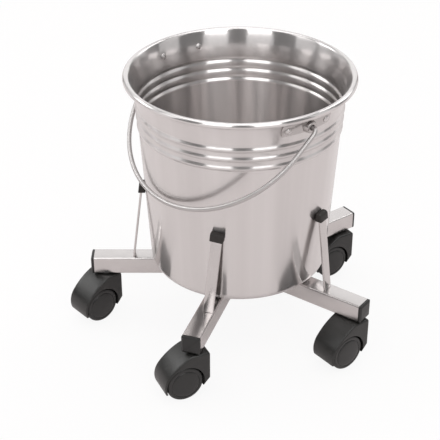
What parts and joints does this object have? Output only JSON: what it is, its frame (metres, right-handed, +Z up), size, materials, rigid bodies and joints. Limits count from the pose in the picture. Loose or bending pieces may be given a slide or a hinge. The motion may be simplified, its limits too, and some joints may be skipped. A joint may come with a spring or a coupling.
{
  "type": "kick bucket",
  "caption": "Tapered stainless pail with rolled rim, wall beads and a wire bail, standing in a star frame of square tube on swivelling twin-wheel casters, for waste in a clinical room.",
  "frame": {"origin": "middle of the footprint's box, on the floor under the wheels", "axes": "+Z up; one arm of the star points along -X; the picture looks along +Y"},
  "size_m": [0.4066, 0.4126, 0.3691],
  "materials": {
    "polished_steel": "mirror-polished stainless sheet",
    "wire_steel": "bright stainless wire and stampings",
    "frame_steel": "polished stainless tube and flat bar",
    "black_nylon": "moulded, slight sheen",
    "black_rubber": "dull",
    "wheel_nylon": "moulded, slight sheen",
    "pin_steel": "zinc-plated steel pins"
  },
  "bodies": {
    "frame": {"hub": "frame_steel", "arm_1": "frame_steel", "end_plug_1": "black_nylon", "strap_1": "frame_steel", "strap_cap_1": "black_rubber", "stem_1": "pin_steel", "arm_2": "frame_steel", "end_plug_2": "black_nylon", "strap_2": "frame_steel", "strap_cap_2": "black_rubber", "stem_2": "pin_steel", "arm_3": "frame_steel", "end_plug_3": "black_nylon", "strap_3": "frame_steel", "strap_cap_3": "black_rubber", "stem_3": "pin_steel", "arm_4": "frame_steel", "end_plug_4": "black_nylon", "strap_4": "frame_steel", "strap_cap_4": "black_rubber", "stem_4": "pin_steel", "arm_5": "frame_steel", "end_plug_5": "black_nylon", "strap_5": "frame_steel", "strap_cap_5": "black_rubber", "stem_5": "pin_steel"},
    "pail": {"pail": "polished_steel", "ear_front": "wire_steel", "ear_back": "wire_steel", "rivet_front_left": "wire_steel", "rivet_front_right": "wire_steel", "rivet_back_left": "wire_steel", "rivet_back_right": "wire_steel"},
    "bail": {"bail": "wire_steel"},
    "caster_1": {"hood_1": "black_nylon", "axle_1": "pin_steel"},
    "wheel_1_left": {"wheel_1_left": "wheel_nylon"},
    "wheel_1_right": {"wheel_1_right": "wheel_nylon"},
    "caster_2": {"hood_2": "black_nylon", "axle_2": "pin_steel"},
    "wheel_2_left": {"wheel_2_left": "wheel_nylon"},
    "wheel_2_right": {"wheel_2_right": "wheel_nylon"},
    "caster_3": {"hood_3": "black_nylon", "axle_3": "pin_steel"},
    "wheel_3_left": {"wheel_3_left": "wheel_nylon"},
    "wheel_3_right": {"wheel_3_right": "wheel_nylon"},
    "caster_4": {"hood_4": "black_nylon", "axle_4": "pin_steel"},
    "wheel_4_left": {"wheel_4_left": "wheel_nylon"},
    "wheel_4_right": {"wheel_4_right": "wheel_nylon"},
    "caster_5": {"hood_5": "black_nylon", "axle_5": "pin_steel"},
    "wheel_5_left": {"wheel_5_left": "wheel_nylon"},
    "wheel_5_right": {"wheel_5_right": "wheel_nylon"}
  },
  "joints": [
    {"name": "pail_lift", "type": "slide", "parent": "frame", "child": "pail", "axis": [0, 0, 1], "range_m": [0, 0.2]},
    {"name": "bail_swing", "type": "hinge", "parent": "pail", "child": "bail", "pos_m": [0.03189, 0.00845, 0.3493], "axis": [-0.5878, 0.809, 0], "range_deg": [0, 263]},
    {"name": "swivel_1", "type": "hinge", "parent": "frame", "child": "caster_1", "pos_m": [-0.15311, 0.00845, 0.06], "axis": [0, 0, 1], "continuous": true},
    {"name": "spin_1_left", "type": "hinge", "parent": "caster_1", "child": "wheel_1_left", "pos_m": [-0.16971, -0.00598, 0.025], "axis": [0.6561, -0.7547, 0], "continuous": true},
    {"name": "spin_1_right", "type": "hinge", "parent": "caster_1", "child": "wheel_1_right", "pos_m": [-0.16971, -0.00598, 0.025], "axis": [0.6561, -0.7547, 0], "continuous": true},
    {"name": "swivel_2", "type": "hinge", "parent": "frame", "child": "caster_2", "pos_m": [-0.02528, -0.16749, 0.06], "axis": [0, 0, 1], "continuous": true},
    {"name": "spin_2_left", "type": "hinge", "parent": "caster_2", "child": "wheel_2_left", "pos_m": [-0.04522, -0.17679, 0.025], "axis": [0.4226, -0.9063, 0], "continuous": true},
    {"name": "spin_2_right", "type": "hinge", "parent": "caster_2", "child": "wheel_2_right", "pos_m": [-0.04522, -0.17679, 0.025], "axis": [0.4226, -0.9063, 0], "continuous": true},
    {"name": "swivel_3", "type": "hinge", "parent": "frame", "child": "caster_3", "pos_m": [0.18156, -0.10029, 0.06], "axis": [0, 0, 1], "continuous": true},
    {"name": "spin_3_left", "type": "hinge", "parent": "caster_3", "child": "wheel_3_left", "pos_m": [0.16422, -0.11383, 0.025], "axis": [0.6157, -0.788, 0], "continuous": true},
    {"name": "spin_3_right", "type": "hinge", "parent": "caster_3", "child": "wheel_3_right", "pos_m": [0.16422, -0.11383, 0.025], "axis": [0.6157, -0.788, 0], "continuous": true},
    {"name": "swivel_4", "type": "hinge", "parent": "frame", "child": "caster_4", "pos_m": [0.18156, 0.11719, 0.06], "axis": [0, 0, 1], "continuous": true},
    {"name": "spin_4_left", "type": "hinge", "parent": "caster_4", "child": "wheel_4_left", "pos_m": [0.1629, 0.10554, 0.025], "axis": [0.5299, -0.848, 0], "continuous": true},
    {"name": "spin_4_right", "type": "hinge", "parent": "caster_4", "child": "wheel_4_right", "pos_m": [0.1629, 0.10554, 0.025], "axis": [0.5299, -0.848, 0], "continuous": true},
    {"name": "swivel_5", "type": "hinge", "parent": "frame", "child": "caster_5", "pos_m": [-0.02528, 0.1844, 0.06], "axis": [0, 0, 1], "continuous": true},
    {"name": "spin_5_left", "type": "hinge", "parent": "caster_5", "child": "wheel_5_left", "pos_m": [-0.04083, 0.16884, 0.025], "axis": [0.7071, -0.7071, 0], "continuous": true},
    {"name": "spin_5_right", "type": "hinge", "parent": "caster_5", "child": "wheel_5_right", "pos_m": [-0.04083, 0.16884, 0.025], "axis": [0.7071, -0.7071, 0], "continuous": true}
  ]
}
